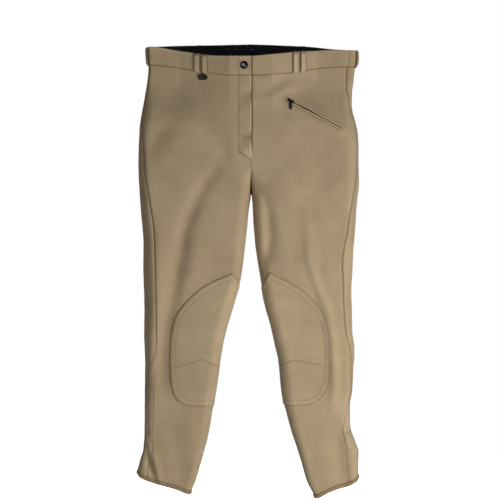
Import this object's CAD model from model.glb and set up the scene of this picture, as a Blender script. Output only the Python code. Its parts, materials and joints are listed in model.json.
"""The looks of a pair of riding breeches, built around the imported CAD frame.

Lengths in this file are millimetres until a mesh is made. +Z is up, the front faces -Y and +X is the
wearer's left, as in the frame.
"""
import json

import bpy
import numpy as np
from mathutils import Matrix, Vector


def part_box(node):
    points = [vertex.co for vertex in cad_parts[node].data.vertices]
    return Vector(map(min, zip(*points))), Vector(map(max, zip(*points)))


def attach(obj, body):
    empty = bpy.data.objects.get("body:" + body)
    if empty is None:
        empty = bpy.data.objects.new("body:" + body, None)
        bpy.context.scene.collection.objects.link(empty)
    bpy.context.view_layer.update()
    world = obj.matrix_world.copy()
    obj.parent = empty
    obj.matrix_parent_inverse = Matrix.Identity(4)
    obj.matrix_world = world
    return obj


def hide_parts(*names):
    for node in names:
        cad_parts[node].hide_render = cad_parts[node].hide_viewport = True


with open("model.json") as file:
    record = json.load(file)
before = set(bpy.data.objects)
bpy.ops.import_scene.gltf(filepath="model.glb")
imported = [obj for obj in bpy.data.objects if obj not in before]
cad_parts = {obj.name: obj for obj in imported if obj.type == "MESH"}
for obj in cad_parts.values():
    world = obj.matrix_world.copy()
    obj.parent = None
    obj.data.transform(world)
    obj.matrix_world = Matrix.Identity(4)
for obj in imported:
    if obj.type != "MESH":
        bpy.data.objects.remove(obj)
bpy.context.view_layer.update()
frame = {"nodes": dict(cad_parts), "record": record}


# The studio: a pale floor below the hem, even white surroundings, a large soft light from the front
# right and a weaker one from the left. The camera looks straight at the front, level, from far off.

def add(tree, kind, settings=None, **links):
    """Adds a node of that kind with its settings. A link is a socket's name, with spaces as _, or its place
    as i0, i1, and either a value or another node's output socket."""
    made = tree.nodes.new(kind)
    for name, value in (settings or {}).items():
        setattr(made, name, value)
    for name, value in links.items():
        socket = made.inputs[int(name[1:])] if name[1:].isdigit() else made.inputs[name.replace("_", " ")]
        if isinstance(value, bpy.types.NodeSocket):
            tree.links.new(value, socket)
        else:
            socket.default_value = value
    return made


def colour(code):
    """sRGB hex to linear: c / 12.92 below 0.04045, else ((c + 0.055) / 1.055) ** 2.4."""
    c = np.array([int(code[i:i + 2], 16) for i in (1, 3, 5)]) / 255
    return (*np.where(c < 0.04045, c / 12.92, ((c + 0.055) / 1.055) ** 2.4).tolist(), 1.0)


def new_material(name):
    """A material with an empty node tree but for its output, and the tree."""
    material = bpy.data.materials.new(name)
    material.use_nodes = True
    tree = material.node_tree
    tree.nodes.clear()
    return material, tree


def two_tone(tree, share, dark, light):
    """A ramp from the dark colour to the light one."""
    ramp = add(tree, "ShaderNodeValToRGB", Fac=share)
    ramp.color_ramp.elements[0].color = colour(dark)
    ramp.color_ramp.elements[1].color = colour(light)
    return ramp


def weighed(tree, value, weight, rest):
    """value * weight + rest."""
    return add(tree, "ShaderNodeMath", {"operation": "MULTIPLY_ADD"}, i0=value, i1=weight, i2=rest)


FLOOR_LEVEL = -1.06
floor_mesh = bpy.data.meshes.new("floor")
floor_mesh.from_pydata([(-30, -30, FLOOR_LEVEL), (30, -30, FLOOR_LEVEL), (30, 30, FLOOR_LEVEL),
                        (-30, 30, FLOOR_LEVEL)], [], [(0, 1, 2, 3)])
floor = bpy.data.objects.new("floor", floor_mesh)
bpy.context.scene.collection.objects.link(floor)
paper, tree = new_material("matt white paper")
path = add(tree, "ShaderNodeLightPath")
glow = add(tree, "ShaderNodeMath", {"operation": "MULTIPLY"}, i0=path.outputs["Is Camera Ray"], i1=0.92)
sheet_white = add(tree, "ShaderNodeBsdfPrincipled", Base_Color=colour("#f4f3f1"), Roughness=0.9,
                  Emission_Color=(1, 1, 1, 1), Emission_Strength=glow.outputs[0])
add(tree, "ShaderNodeOutputMaterial", Surface=sheet_white.outputs[0])
floor_mesh.materials.append(paper)

world = bpy.data.worlds.new("even white")
world.use_nodes = True
world.node_tree.nodes.clear()
surround = add(world.node_tree, "ShaderNodeBackground", Color=(1, 1, 1, 1), Strength=0.11)
seen = add(world.node_tree, "ShaderNodeBackground", Color=(1, 1, 1, 1), Strength=1.0)
path = add(world.node_tree, "ShaderNodeLightPath")
both = add(world.node_tree, "ShaderNodeMixShader", i0=path.outputs["Is Camera Ray"], i1=surround.outputs[0],
           i2=seen.outputs[0])
add(world.node_tree, "ShaderNodeOutputWorld", Surface=both.outputs[0])
bpy.context.scene.world = world
bpy.context.scene.view_settings.view_transform = "Standard"

for name, place, size, power in (("key", (1.15, -1.2, -1.05), 0.8, 43), ("fill", (-1.6, -2.8, 0.7), 0.8, 10),
                                 ("back", (0.6, 2.8, 0.9), 2.0, 52)):
    lamp = bpy.data.lights.new(name, "AREA")
    lamp.size, lamp.energy = size, power
    light = bpy.data.objects.new(name, lamp)
    light.location = place
    light.rotation_euler = (Vector((0, 0, -0.45)) - Vector(place)).to_track_quat("-Z", "Y").to_euler()
    bpy.context.scene.collection.objects.link(light)

FRAME_WIDTH, CAMERA_AWAY = 1.05, 8.0
lens = bpy.data.cameras.new("camera")
lens.sensor_width = 36.0
lens.lens = 36.0 * (CAMERA_AWAY - 0.03) / FRAME_WIDTH
camera = bpy.data.objects.new("camera", lens)
camera.location = (-0.0021, -CAMERA_AWAY, -0.42)
camera.rotation_euler = (np.pi / 2, 0, 0)
lens.clip_end = 100.0
bpy.context.scene.collection.objects.link(camera)
bpy.context.scene.camera = camera


# Each leg is one front and one back panel of stretch twill, sewn at the side and the inside leg. Hung by
# the waist the two lie nearly flat on each other, with a soft round fold down each long edge.

def through(points, at):
    """Monotone cubic through (position, value) points: Hermite spans whose slopes are the harmonic mean of
    the neighbouring chords, or 0 where the chords change sign. Flat past both ends."""
    points = np.array(sorted(points), float)
    x, y = points[:, 0], points[:, 1]
    step, chord = np.diff(x), np.diff(y) / np.diff(x)
    slope = np.zeros(len(x))
    same = chord[:-1] * chord[1:] > 0
    both = chord[:-1] + chord[1:]
    slope[1:-1] = np.where(same, 2 * chord[:-1] * chord[1:] / np.where(same, both, 1.0), 0.0)
    at = np.clip(np.asarray(at, float), x[0], x[-1])
    i = np.clip(np.searchsorted(x, at) - 1, 0, len(x) - 2)
    t = (at - x[i]) / step[i]
    return ((1 + 2 * t) * (1 - t) ** 2 * y[i] + t * (1 - t) ** 2 * step[i] * slope[i]
            + t * t * (3 - 2 * t) * y[i + 1] + t * t * (t - 1) * step[i] * slope[i + 1])


def ease(share):
    share = np.clip(share, 0.0, 1.0)
    return share * share * (3 - 2 * share)


SIDES = {"right": -1.0, "left": 1.0}
OUTER = {"right": [(20, -218.5), (-38, -216.5), (-70, -219.5), (-105, -225), (-170, -235), (-250, -237.5),
                   (-315, -233), (-400, -227), (-525, -225), (-650, -223.5), (-735, -223), (-800, -224.5),
                   (-840, -227), (-861, -233), (-890, -240), (-960, -243)],
         "left": [(20, 221), (-21, 221.5), (-38, 218.5), (-63, 216), (-90, 212.5), (-107, 212), (-126, 214),
                  (-147, 220), (-170, 225), (-200, 227), (-275, 227), (-315, 224.5), (-357, 220.5),
                  (-400, 218),
                  (-462, 214), (-525, 212), (-588, 214), (-630, 218), (-672, 216), (-714, 213), (-745, 208),
                  (-780, 208), (-800, 210), (-816, 216), (-850, 226), (-875, 226), (-960, 227)]}
INNER = {"right": [(20, 0), (-262, 0), (-290, -1), (-315, -2.4), (-357, -6), (-400, -10.5), (-441, -15),
                   (-483, -22), (-525, -34), (-567, -46), (-609, -57), (-651, -65), (-693, -71), (-735, -77),
                   (-777, -84), (-819, -92), (-861, -103), (-903, -115.5), (-960, -135)],
         "left": [(20, 0), (-262, 0), (-290, 1), (-315, 2), (-357, 4), (-400, 6.5), (-441, 12.5),
                  (-483, 19), (-525, 27), (-567, 38), (-609, 48), (-651, 57), (-693, 61.5), (-735, 67.5),
                  (-777, 77.5), (-819, 90), (-861, 103), (-903, 116), (-960, 138)]}
SIDE_DEPTH = [(20, 7), (-55, 8), (-105, 22), (-170, 31), (-236, 35), (-308, 36), (-400, 34), (-525, 30),
              (-651, 28), (-735, 26), (-800, 22), (-861, 19), (-960, 16)]
FRONT_DEPTH = [(20, 34), (-236, 34), (-308, 35), (-400, 35), (-525, 31), (-651, 29), (-735, 27), (-800, 23),
               (-861, 19.5), (-960, 16.5)]
BACK_DEPTH = [(20, 36), (-55, 36), (-105, 38), (-170, 42), (-272, 43), (-308, 41), (-400, 36), (-525, 31),
              (-651, 28), (-735, 26), (-800, 23), (-861, 19.5), (-960, 16.5)]
# How far the side seam lies in front of the outer edge.
SIDE_SEAM = {"right": [(-30, 2), (-115, 2), (-212, 10), (-319, 19), (-374, 23), (-525, 24.5), (-630, 25),
                       (-735, 17), (-800, 17), (-861, 20), (-903, 22.7), (-960, 24)],
             "left": [(-30, 17), (-80, 13), (-111, 3), (-200, 1.5), (-258, 4), (-299, 9), (-379, 16),
                      (-441, 23), (-504, 18), (-569, 16), (-613, 12), (-645, 7), (-700, 2), (-741, 2),
                      (-779, 9), (-800, 18), (-861, 26), (-903, 22.6), (-960, 20)]}
# The seam's line as it shows, which leaves the panels' edge for the vent, and where it fades out.
SEAM_LINE = {"right": [(-30, 2), (-115, 2), (-212, 10), (-319, 19), (-374, 23), (-525, 24.5), (-610, 24.5),
                       (-645, 19.8), (-665, 9), (-699, 4), (-760, 4), (-802, 8.3), (-853, 20.5), (-960, 24)],
             "left": SIDE_SEAM["left"]}
SEAM_END = {"right": -862.0, "left": -838.0}
CLIP_FLAT = {"right": 150.0, "left": 140.0}
FRONT_TOP = [(-240, 7), (-219, 7), (-209, 8.5), (-195, 7), (-158, 0.5), (-132, -3.4), (-110, -7.5),
             (-83, -11), (-45, -12), (0, -12), (49, -8), (85, -4.2), (118, -1.5), (178, 1.3), (240, 0)]
FRONT_BOTTOM = [(-240, -28), (-209, -30), (-184, -32), (-158, -35.5), (-118, -42.4), (-87, -46.8), (-45, -52),
                (0, -53), (49, -50), (89, -46.6), (118, -41.5), (140, -37.6), (178, -34.5), (240, -34)]
BACK_TOP = [(-240, 7), (-209, 8.5), (-110, 12), (0, 15), (110, 10), (178, 3), (240, 0)]
BACK_BOTTOM = [(-240, -28), (-209, -30), (-110, -29), (0, -26), (110, -31), (178, -34.5), (240, -34)]
HEM = {"right": [(-270, -884), (-240, -890), (-233, -898), (-200, -911), (-178.5, -917), (-155, -924),
                 (-136.5, -931.5), (-130, -933.5), (-80, -937)],
       "left": [(270, -880), (227.5, -898), (222, -906), (206, -915.5), (183, -922), (164, -929.5),
                (136, -942), (126, -941), (80, -950)]}
VENT_TOP = -800.0


INNER_BACK = {"right": [(20, 0), (-306, 0), (-326, -2.4), (-357, -6)],
              "left": [(20, 0), (-306, 0), (-326, 2.0), (-357, 4)]}


def leg_point(side, z, p):
    """X and Y before any folds. X goes straight from the outer edge at p = 0 to the inner one at |p| = 1.
    Y is the depth there, times sqrt(1 - (1 - d / r)^2) within the fold radius r of an edge, where d is the
    distance to it. Front while 0 < p < 1, back while p < 0 or p > 1."""
    outer, inner = through(OUTER[side], z), through(INNER[side], z)
    behind = (p < 0) | (p > 1)
    inner = np.where(behind & (z > -357), through(INNER_BACK[side], z), inner)
    t = np.minimum(np.abs(p), 2 - np.abs(p))
    width = np.abs(inner - outer)
    x = outer + (inner - outer) * t
    side_depth = through(SIDE_DEPTH, z)
    middle = np.where(behind, through(BACK_DEPTH, z), through(FRONT_DEPTH, z))
    full = side_depth + (middle - side_depth) * ease((t * width - 20) / (width - 60))
    flat, deep = np.where(behind, 60.0, 45.0), np.where(behind, 36.0, 34.0)
    waist = deep + (7.0 - deep) * np.clip((np.abs(x) - flat) / (CLIP_FLAT[side] - flat), 0, 1)
    depth = waist + (full - waist) * ease((-50 - z) / 105)
    radius = np.minimum(24.0, side_depth * 0.9)
    closed = ease((-240 - z) / 66)
    near = np.sqrt(1 - (1 - np.clip(t * width / radius, 0, 1)) ** 2)
    far = np.sqrt(1 - (1 - np.clip((1 - t) * width / radius, 0, 1)) ** 2)
    return x, np.where(behind, depth, -depth) * near * (1 - closed * (1 - far))


# Folds as they hang: points along each crease with its height there (out of the cloth is positive), then
# the crease's half width.
FOLDS = {
    ("right", "front"): [
        ([(-50, -205, 0), (-80, -254, -3.4), (-108, -299, -4.4), (-128, -339, -5.0), (-144, -387, -5.2),
          (-153, -450, -5.0), (-166, -520, -5.0), (-181, -585, -5.2), (-187, -645, -4.6), (-184, -701, -3.4),
          (-168, -745, 0)], 17),
        ([(-100, -320, 0), (-112, -400, 2.2), (-122, -470, 2.4), (-130, -510, 0)], 26),
        ([(-192, -330, 0), (-192, -400, 2.0), (-196, -520, 2.2), (-206, -640, 1.6), (-206, -720, 0)], 13),
        ([(-165, -140, 0), (-190, -170, -2.6), (-212, -205, -3.0), (-224, -245, 0)], 19),
        ([(-120, -110, 0), (-95, -150, -1.2), (-78, -205, -1.4), (-60, -240, 0)], 24),
        ([(-40, -175, 0), (-60, -196, -1.8), (-52, -235, -1.6), (-30, -262, 0)], 15),
        ([(-224, -815, 0), (-222, -848, -4.0), (-212, -876, -4.4), (-200, -900, -2.0), (-196, -915, 0)], 8),
        ([(-208, -838, 0), (-203, -862, 3.0), (-197, -892, 3.4), (-190, -918, 1.5)], 8),
        ([(-178, -780, 0), (-160, -820, -1.4), (-150, -880, -1.6), (-148, -925, -1.0)], 20),
        ([(-130, -755, 0), (-126, -800, 1.2), (-122, -860, 1.2), (-124, -910, 0)], 15)],
    ("left", "front"): [
        ([(10, -268, 0), (18, -290, -3.0), (34, -339, -4.2), (39, -395, -4.6), (31, -440, -3.4),
          (30, -475, 0)], 13),
        ([(12, -92, 0), (40, -80, -1.8), (62, -66, -1.4), (90, -58, 0)], 13),
        ([(20, -120, 0), (50, -100, 1.2), (85, -72, 1.0), (110, -60, 0)], 14),
        ([(108, -330, 0), (118, -380, 1.6), (122, -440, 2.8), (142, -500, 2.8), (160, -545, 3.2),
          (171, -601, 4.0), (174, -660, 4.2), (174, -715, 3.0), (168, -770, 0)], 10),
        ([(150, -430, 0), (144, -465, -1.8), (152, -500, -1.6), (170, -540, 0)], 9),
        ([(96, -345, 0), (90, -420, -1.6), (84, -460, 0)], 20),
        ([(70, -240, 0), (74, -300, 1.4), (72, -380, 1.4), (66, -440, 0)], 22),
        ([(172, -170, 0), (150, -215, -1.6), (140, -280, -1.4), (150, -330, 0)], 26),
        ([(188, -600, 0), (192, -660, -2.2), (192, -730, -2.0), (188, -770, 0)], 9),
        ([(192, -775, 0), (184, -830, -2.0), (188, -880, -2.2), (196, -915, -1.0)], 12),
        ([(150, -770, 0), (152, -830, 1.2), (160, -890, 1.4), (168, -925, 1.0)], 16)],
    ("right", "back"): [
        ([(-20, -150, 0), (-60, -200, 1.8), (-110, -235, 2.0), (-160, -250, 0)], 24),
        ([(-12, -310, 0), (-60, -345, -3.0), (-100, -355, -2.4), (-140, -350, 0)], 14),
        ([(-60, -390, 0), (-100, -470, 2.6), (-128, -560, 2.4), (-136, -640, 0)], 22),
        ([(-190, -420, 0), (-180, -520, -2.4), (-186, -620, -2.2), (-180, -700, 0)], 16),
        ([(-90, -640, 0), (-130, -660, -2.4), (-165, -655, 0)], 9),
        ([(-95, -680, 0), (-130, -696, -1.8), (-160, -690, 0)], 8),
        ([(-170, -780, 0), (-172, -850, -1.8), (-180, -900, 0)], 16)],
    ("left", "back"): [
        ([(25, -160, 0), (70, -205, 1.6), (120, -240, 2.0), (160, -246, 0)], 24),
        ([(14, -312, 0), (52, -350, -3.0), (96, -362, -2.4), (140, -352, 0)], 14),
        ([(62, -400, 0), (96, -480, 2.4), (120, -570, 2.6), (130, -650, 0)], 22),
        ([(186, -410, 0), (172, -510, -2.2), (178, -610, -2.4), (176, -690, 0)], 16),
        ([(80, -645, 0), (115, -664, -2.4), (155, -656, 0)], 9),
        ([(84, -684, 0), (120, -700, -1.8), (152, -694, 0)], 8),
        ([(165, -780, 0), (160, -850, -1.6), (172, -905, 0)], 16)],
}


FOLD_DEPTH = 1.5


def crease(x, z, points, half_width):
    """Height of one crease: h * exp(-(d / w)^2), with d the distance to its line and h the height at the
    nearest point of it."""
    best, height = np.full(x.shape, 1e9), np.zeros(x.shape)
    for (x0, z0, h0), (x1, z1, h1) in zip(points, points[1:]):
        dx, dz = x1 - x0, z1 - z0
        t = np.clip(((x - x0) * dx + (z - z0) * dz) / (dx * dx + dz * dz), 0, 1)
        d = np.hypot(x - x0 - t * dx, z - z0 - t * dz)
        closer = d < best
        best, height = np.where(closer, d, best), np.where(closer, h0 + (h1 - h0) * t, height)
    return height * np.exp(-(best / half_width) ** 2)


def ripple(x, z, seed, wavelengths, height):
    """A sum of plane waves with seeded directions and phases, one for each wavelength, of that height."""
    draw = np.random.default_rng(seed)
    total = 0.0
    for wavelength in wavelengths:
        angle, phase = draw.uniform(0, np.pi), draw.uniform(0, 2 * np.pi)
        total = total + np.sin((x * np.cos(angle) + z * np.sin(angle)) * 2 * np.pi / wavelength + phase)
    return total * height / len(wavelengths) ** 0.5


def seam_dip(distance, depth=0.9, reach=1.6, allowance=0.35):
    """A sewn seam: a dip of depth * exp(-(d / reach)^2), and the seam allowance's low swelling beside it."""
    swelling = ease(distance / 2.0) * ease((11 - distance) / 4.0)
    return allowance * swelling - depth * np.exp(-(distance / reach) ** 2)


def seam_share(side, z):
    return through(SIDE_SEAM[side], z) / np.abs(through(INNER[side], z) - through(OUTER[side], z))


def line_share(side, z):
    return through(SEAM_LINE[side], z) / np.abs(through(INNER[side], z) - through(OUTER[side], z))


def relief(side, x, z, p):
    """Everything that lifts the cloth off its plain shape: creases, ripples, seams and their puckers."""
    behind = (p < 0) | (p > 1)
    total = np.zeros(np.shape(x))
    for face in ("front", "back"):
        here = np.zeros(np.shape(x))
        for points, half_width in FOLDS[side, face]:
            here += crease(x, z, points, half_width)
        total += np.where(behind == (face == "back"), here * FOLD_DEPTH, 0.0)
    width = np.abs(through(INNER[side], z) - through(OUTER[side], z))
    t = np.minimum(np.abs(p), 2 - np.abs(p))
    total *= ease(t * width / 14) * ease((1 - t) * width / 10 + (z > -240) * 1.0)
    total += ripple(x, z, 3 if side == "left" else 4, (210, 150, 118, 90), 0.75)
    total += ripple(x, z, 5, (46, 37, 31), 0.16)
    to_side = np.abs(p - line_share(side, z)) * width
    to_inside = (1 - t) * width
    sewn = ease((z - SEAM_END[side]) / 50)
    total += np.where(p > -0.02, seam_dip(to_side) * sewn, 0.0) + seam_dip(to_inside, 0.8)
    pucker = np.sin(z * 2 * np.pi / 7.3 + 1.7 * np.sin(z / 23.0))
    total += 0.16 * pucker * (np.exp(-(to_side / 5) ** 2) * (p > -0.02) * sewn
                              + np.exp(-(to_inside / 5) ** 2))
    fly = np.where(behind | (z < -250), 0.0, np.exp(-(np.clip(np.abs(x + 13) - 14, 0, None) / 12) ** 2))
    joined = np.where(z > -306, ease(to_inside / 4), 1.0)
    return total * joined * (1 - 0.75 * fly)


# The hip pocket's opening pulls the cloth flat about its zip, whose line and tilt the frame's joints give.
joints = {joint["name"]: joint for joint in frame["record"]["behaviour"]["joints"]}
zip_way = np.array(joints["pocket_zip_slide"]["axis"])
zip_out = np.cross(zip_way, joints["pocket_pull_hinge"]["axis"])
zip_out *= -np.sign(zip_out[1]) / np.linalg.norm(zip_out)
ZIP_AT = np.array(joints["pocket_pull_hinge"]["pos_m"]) * 1000 - 2.15 * zip_out
POCKET_TOP, POCKET_LOW = np.array([78.0, -104.0]), np.array([187.0, -162.0])
POCKET_RUN = np.hypot(*(POCKET_LOW - POCKET_TOP))
pocket_dir = (POCKET_LOW - POCKET_TOP) / POCKET_RUN


def pocket_flat(x, z):
    """Y of the zip's plane at X and Z, and how much the cloth follows it: exp(-(d / 17)^4), with d the
    distance to the zip's line."""
    level = ZIP_AT[1] - ((x - ZIP_AT[0]) * zip_out[0] + (z - ZIP_AT[2]) * zip_out[2]) / zip_out[1]
    run = np.clip((x - POCKET_TOP[0]) * pocket_dir[0] + (z - POCKET_TOP[1]) * pocket_dir[1], 0, POCKET_RUN)
    d = np.hypot(x - POCKET_TOP[0] - run * pocket_dir[0], z - POCKET_TOP[1] - run * pocket_dir[1])
    return level, np.exp(-(d / 17.0) ** 4)


def cloth(side, z, p, lift=0.0):
    """Points on the finished cloth: the plain point moved along the section's outward normal by the relief
    and the lift. The normal is the section's tangent, from a difference in p, turned a quarter."""
    z, p = np.broadcast_arrays(np.asarray(z, float), np.asarray(p, float))
    x, y = leg_point(side, z, p)
    low = np.where(p <= 1, np.clip(p - 0.004, -1, None), p - 0.004)
    high = np.where(p <= 1, np.clip(p + 0.004, None, 1.0), p + 0.004)
    x0, y0 = leg_point(side, z, low)
    x1, y1 = leg_point(side, z, high)
    along = np.stack([x1 - x0, y1 - y0], -1)
    along /= np.maximum(np.linalg.norm(along, axis=-1, keepdims=True), 1e-9)
    out = -SIDES[side] * np.stack([along[..., 1], -along[..., 0]], -1)
    distance = relief(side, x, z, p)
    if side == "left":
        level, near = pocket_flat(x, z)
        near = np.where((p > 0) & (p < 1), near, 0.0)
        distance, y = distance * (1 - near), y + (level - y) * near
    distance = distance + lift
    return np.stack([x + out[..., 0] * distance, y + out[..., 1] * distance, z], -1)


def share_at(side, x, z):
    """The p of a place on the front, from its X and Z."""
    outer, inner = through(OUTER[side], z), through(INNER[side], z)
    return (x - outer) / (inner - outer)


def put_mesh(name, points, faces, uv=None, seam=None, smooth=True):
    """A mesh object from points in millimetres. uv has one row per point, in metres of cloth."""
    mesh = bpy.data.meshes.new(name)
    points = np.asarray(points, float).reshape(-1, 3) * 0.001
    mesh.from_pydata(points.tolist(), [], [list(map(int, f)) for f in faces])
    if uv is not None:
        layer = mesh.uv_layers.new(name="UVMap")
        corner = np.zeros(len(mesh.loops), np.int32)
        mesh.loops.foreach_get("vertex_index", corner)
        layer.data.foreach_set("uv", np.asarray(uv, np.float32).reshape(-1, 2)[corner].ravel())
    if seam is not None:
        attribute = mesh.attributes.new("seam", "FLOAT", "POINT")
        attribute.data.foreach_set("value", np.asarray(seam, np.float32).ravel())
    mesh.polygons.foreach_set("use_smooth", np.full(len(mesh.polygons), smooth))
    mesh.validate()
    mesh.update()
    piece = bpy.data.objects.new(name, mesh)
    bpy.context.scene.collection.objects.link(piece)
    return piece


def grid_faces(rows, columns, around=False):
    """Quads between neighbouring rows and columns of a grid, closed over the last column if around."""
    r, c = np.meshgrid(np.arange(rows - 1), np.arange(columns if around else columns - 1), indexing="ij")
    n = (c + 1) % columns
    return np.stack([r * columns + c, r * columns + n, (r + 1) * columns + n, (r + 1) * columns + c],
                    -1).reshape(-1, 4)


def outwards(points, faces, away):
    """The faces, all turned over if on the whole they look against the vectors away, one a point or one."""
    points = np.asarray(points, float).reshape(-1, 3)
    away = np.broadcast_to(np.asarray(away, float).reshape(-1, 3), points.shape)
    a, b, c = points[faces[:, 0]], points[faces[:, 1]], points[faces[:, 2]]
    looks = (away[faces[:, 0]] * np.cross(b - a, c - a)).sum()
    return faces if looks > 0 else faces[:, ::-1]


def cloth_uv(points):
    """Each point's distance across and down the cloth in metres, added up along the grid's rows."""
    step = np.linalg.norm(np.diff(points, axis=1), axis=-1)
    across = np.concatenate([np.zeros((len(points), 1)), np.cumsum(step, 1)], 1)
    across -= across[:, :1] + across[:, -1:] * 0.5
    return np.stack([across, points[..., 2]], -1) * 0.001


def rows_between(side, p, top_line, steps, top_p=None):
    """Heights for a column at each p, or at top_p by the waist: from the waist seam down to the hem, whose
    lines depend on X. The middle rows are level."""
    base = np.array(steps, float)[:, None]
    top_p = p if top_p is None else top_p
    top, low = np.full(p.shape, -45.0), np.full(p.shape, -920.0)
    for _ in range(4):
        top = through(top_line, leg_point(side, top, top_p)[0]) - 0.2
        low = through(HEM[side], leg_point(side, low, p)[0])
    return base + (top + 45) * ease((base + 125) / 80) + (low + 925) * ease((-825 - base) / 100)


def cloth_piece(name, points, away, material, thickness, body, nodes=(), seam=None, hole=None):
    """A sheet on a grid of points, with its thickness inwards. hole tells which faces to leave out, from
    their centres. seam is each point's shade on or beside a seam, for the material."""
    faces = grid_faces(*points.shape[:2])
    if hole is not None:
        faces = faces[~hole(points.reshape(-1, 3)[faces].mean(1))]
    faces = outwards(points, faces, away)
    piece = put_mesh(name, points, faces, cloth_uv(points),
                     np.zeros(points.shape[:2]) if seam is None else seam)
    piece.data.materials.append(material)
    solid = piece.modifiers.new("cloth", "SOLIDIFY")
    solid.thickness, solid.offset = thickness * 0.001, -1.0
    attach(piece, body)
    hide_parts(*nodes)
    return piece


def seam_shade(side, z, p, reach=1.2):
    """0.5 on a seam, falling to 0 beside it as exp(-(d / reach)^2). Near the vent the side seam's folded
    edge is worn light instead, so it is below 0 there, and it fades out further down."""
    width = np.abs(through(INNER[side], z) - through(OUTER[side], z))
    t = np.minimum(np.abs(p), 2 - np.abs(p))
    to_side = np.where(p > -0.02, np.abs(p - line_share(side, z)) * width, 99)
    worn = 0.5 - 0.95 * ease((-735 - z) / 25)
    return (worn * np.exp(-(to_side / reach) ** 2) * ease((z - SEAM_END[side]) / 50)
            + 0.5 * np.exp(-((1 - t) * width / reach) ** 2))


# Stretch cotton twill, piece-dyed beige: matt, with a melange of slightly darker and lighter threads, faint
# streaks along the weft, and a diagonal rib. The rib is 0.6 mm on the cloth and is drawn at 1.3 mm to show.
def cloth_material(name, base, light, dark, uv=True, streak=0.22):
    material, tree = new_material(name)
    place = add(tree, "ShaderNodeTexCoord").outputs["UV" if uv else "Object"]
    slub = add(tree, "ShaderNodeMapping", Vector=place, Scale=(14, 420, 420))
    slubs = add(tree, "ShaderNodeTexNoise", Vector=slub.outputs[0], Scale=1.0, Detail=3.0, Roughness=0.6)
    warp = add(tree, "ShaderNodeMapping", Vector=place, Scale=(520, 16, 520))
    warps = add(tree, "ShaderNodeTexNoise", Vector=warp.outputs[0], Scale=1.0, Detail=2.0, Roughness=0.6)
    cloud = add(tree, "ShaderNodeTexNoise", Vector=place, Scale=11.0, Detail=4.0, Roughness=0.55)
    fleck = add(tree, "ShaderNodeTexNoise", Vector=place, Scale=420.0, Detail=2.0, Roughness=0.7)
    lit = weighed(tree, slubs.outputs[0], streak, 0.5 - 0.5 * streak)
    lit = weighed(tree, warps.outputs[0], 0.16, lit.outputs[0])
    lit = weighed(tree, cloud.outputs[0], 0.6, lit.outputs[0])
    lit = weighed(tree, fleck.outputs[0], 0.55, lit.outputs[0])
    share = add(tree, "ShaderNodeMapRange", Value=lit.outputs[0], From_Min=0.78, From_Max=1.32)
    ramp = add(tree, "ShaderNodeValToRGB", Fac=share.outputs[0])
    ramp.color_ramp.elements[0].color = colour(dark)
    ramp.color_ramp.elements[1].color = colour(light)
    ramp.color_ramp.elements.new(0.5).color = colour(base)
    seam = add(tree, "ShaderNodeAttribute", {"attribute_name": "seam"})
    shade = add(tree, "ShaderNodeMix", {"data_type": "RGBA", "blend_type": "MULTIPLY"}, i0=1.0,
                i6=ramp.outputs[0], i7=(0.44, 0.34, 0.26, 1.0))
    worn = add(tree, "ShaderNodeMix", {"data_type": "RGBA", "clamp_factor": False}, i0=seam.outputs["Fac"],
               i6=ramp.outputs[0], i7=shade.outputs["Result"])
    rib = add(tree, "ShaderNodeMapping", Vector=place, Rotation=(0, 0, 1.1), Scale=(1000 / 1.3,) * 3)
    ribs = add(tree, "ShaderNodeTexWave", {"bands_direction": "X"}, Vector=rib.outputs[0], Scale=0.5 / np.pi,
               Distortion=0.6, Detail=1.0)
    height = weighed(tree, slubs.outputs[0], 0.6, ribs.outputs["Fac"])
    height = weighed(tree, fleck.outputs[0], 0.5, height.outputs[0])
    bump = add(tree, "ShaderNodeBump", Strength=0.35, Distance=0.0004, Height=height.outputs[0])
    rough = add(tree, "ShaderNodeMapRange", Value=fleck.outputs[0], To_Min=0.78, To_Max=0.95)
    fibre = add(tree, "ShaderNodeBsdfPrincipled", Base_Color=worn.outputs["Result"],
                Roughness=rough.outputs[0],
                Normal=bump.outputs[0], IOR=1.5)
    fibre.inputs["Sheen Weight"].default_value = 0.12
    fibre.inputs["Sheen Roughness"].default_value = 0.5
    fibre.inputs["Specular IOR Level"].default_value = 0.25
    add(tree, "ShaderNodeOutputMaterial", Surface=fibre.outputs[0])
    return material


twill = cloth_material("stretch cotton twill", "#a89374", "#b8a382", "#937f60")


def in_pocket_slot(centre):
    """True for faces behind the pocket's lips: within 4 mm of the zip's line and between its ends."""
    away = centre[:, [0, 2]] - POCKET_TOP
    run = away @ pocket_dir
    across = away @ np.array([-pocket_dir[1], pocket_dir[0]])
    return (run > -1.5) & (run < POCKET_RUN + 1.5) & (np.abs(across) < 3.8) & (centre[:, 1] < 0)


# The fly's flap lies in the right front panel, between this hinge line and the centre.
FLAP_X, FLAP_CORNER, FLAP_END = -27.0, -216.0, -228.0
FLAP_LOW = [(FLAP_X - 0.2, FLAP_CORNER), (0.0, FLAP_END)]


def front_end(side, z):
    """The share at which the front panel ends: the inside seam, or the fly flap's edges where it has one."""
    if side == "left":
        return np.ones(np.shape(z))
    x = FLAP_X * np.clip((z - FLAP_END) / (FLAP_CORNER - FLAP_END), 0, 1) - 0.1
    return np.where(z > FLAP_END, share_at(side, x, z), 1.0)


def back_columns(u, first):
    """From the side seam round the outer fold, then across the back, closest together at the two folds."""
    turn = np.clip(u / 0.16, 0, 1)
    rest = np.clip((u - 0.16) / 0.84, 0, 1)
    return np.where(u <= 0.16, first * (1 - np.sin(turn * np.pi / 2)), -(1 - np.cos(rest * np.pi)) / 2)


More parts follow.
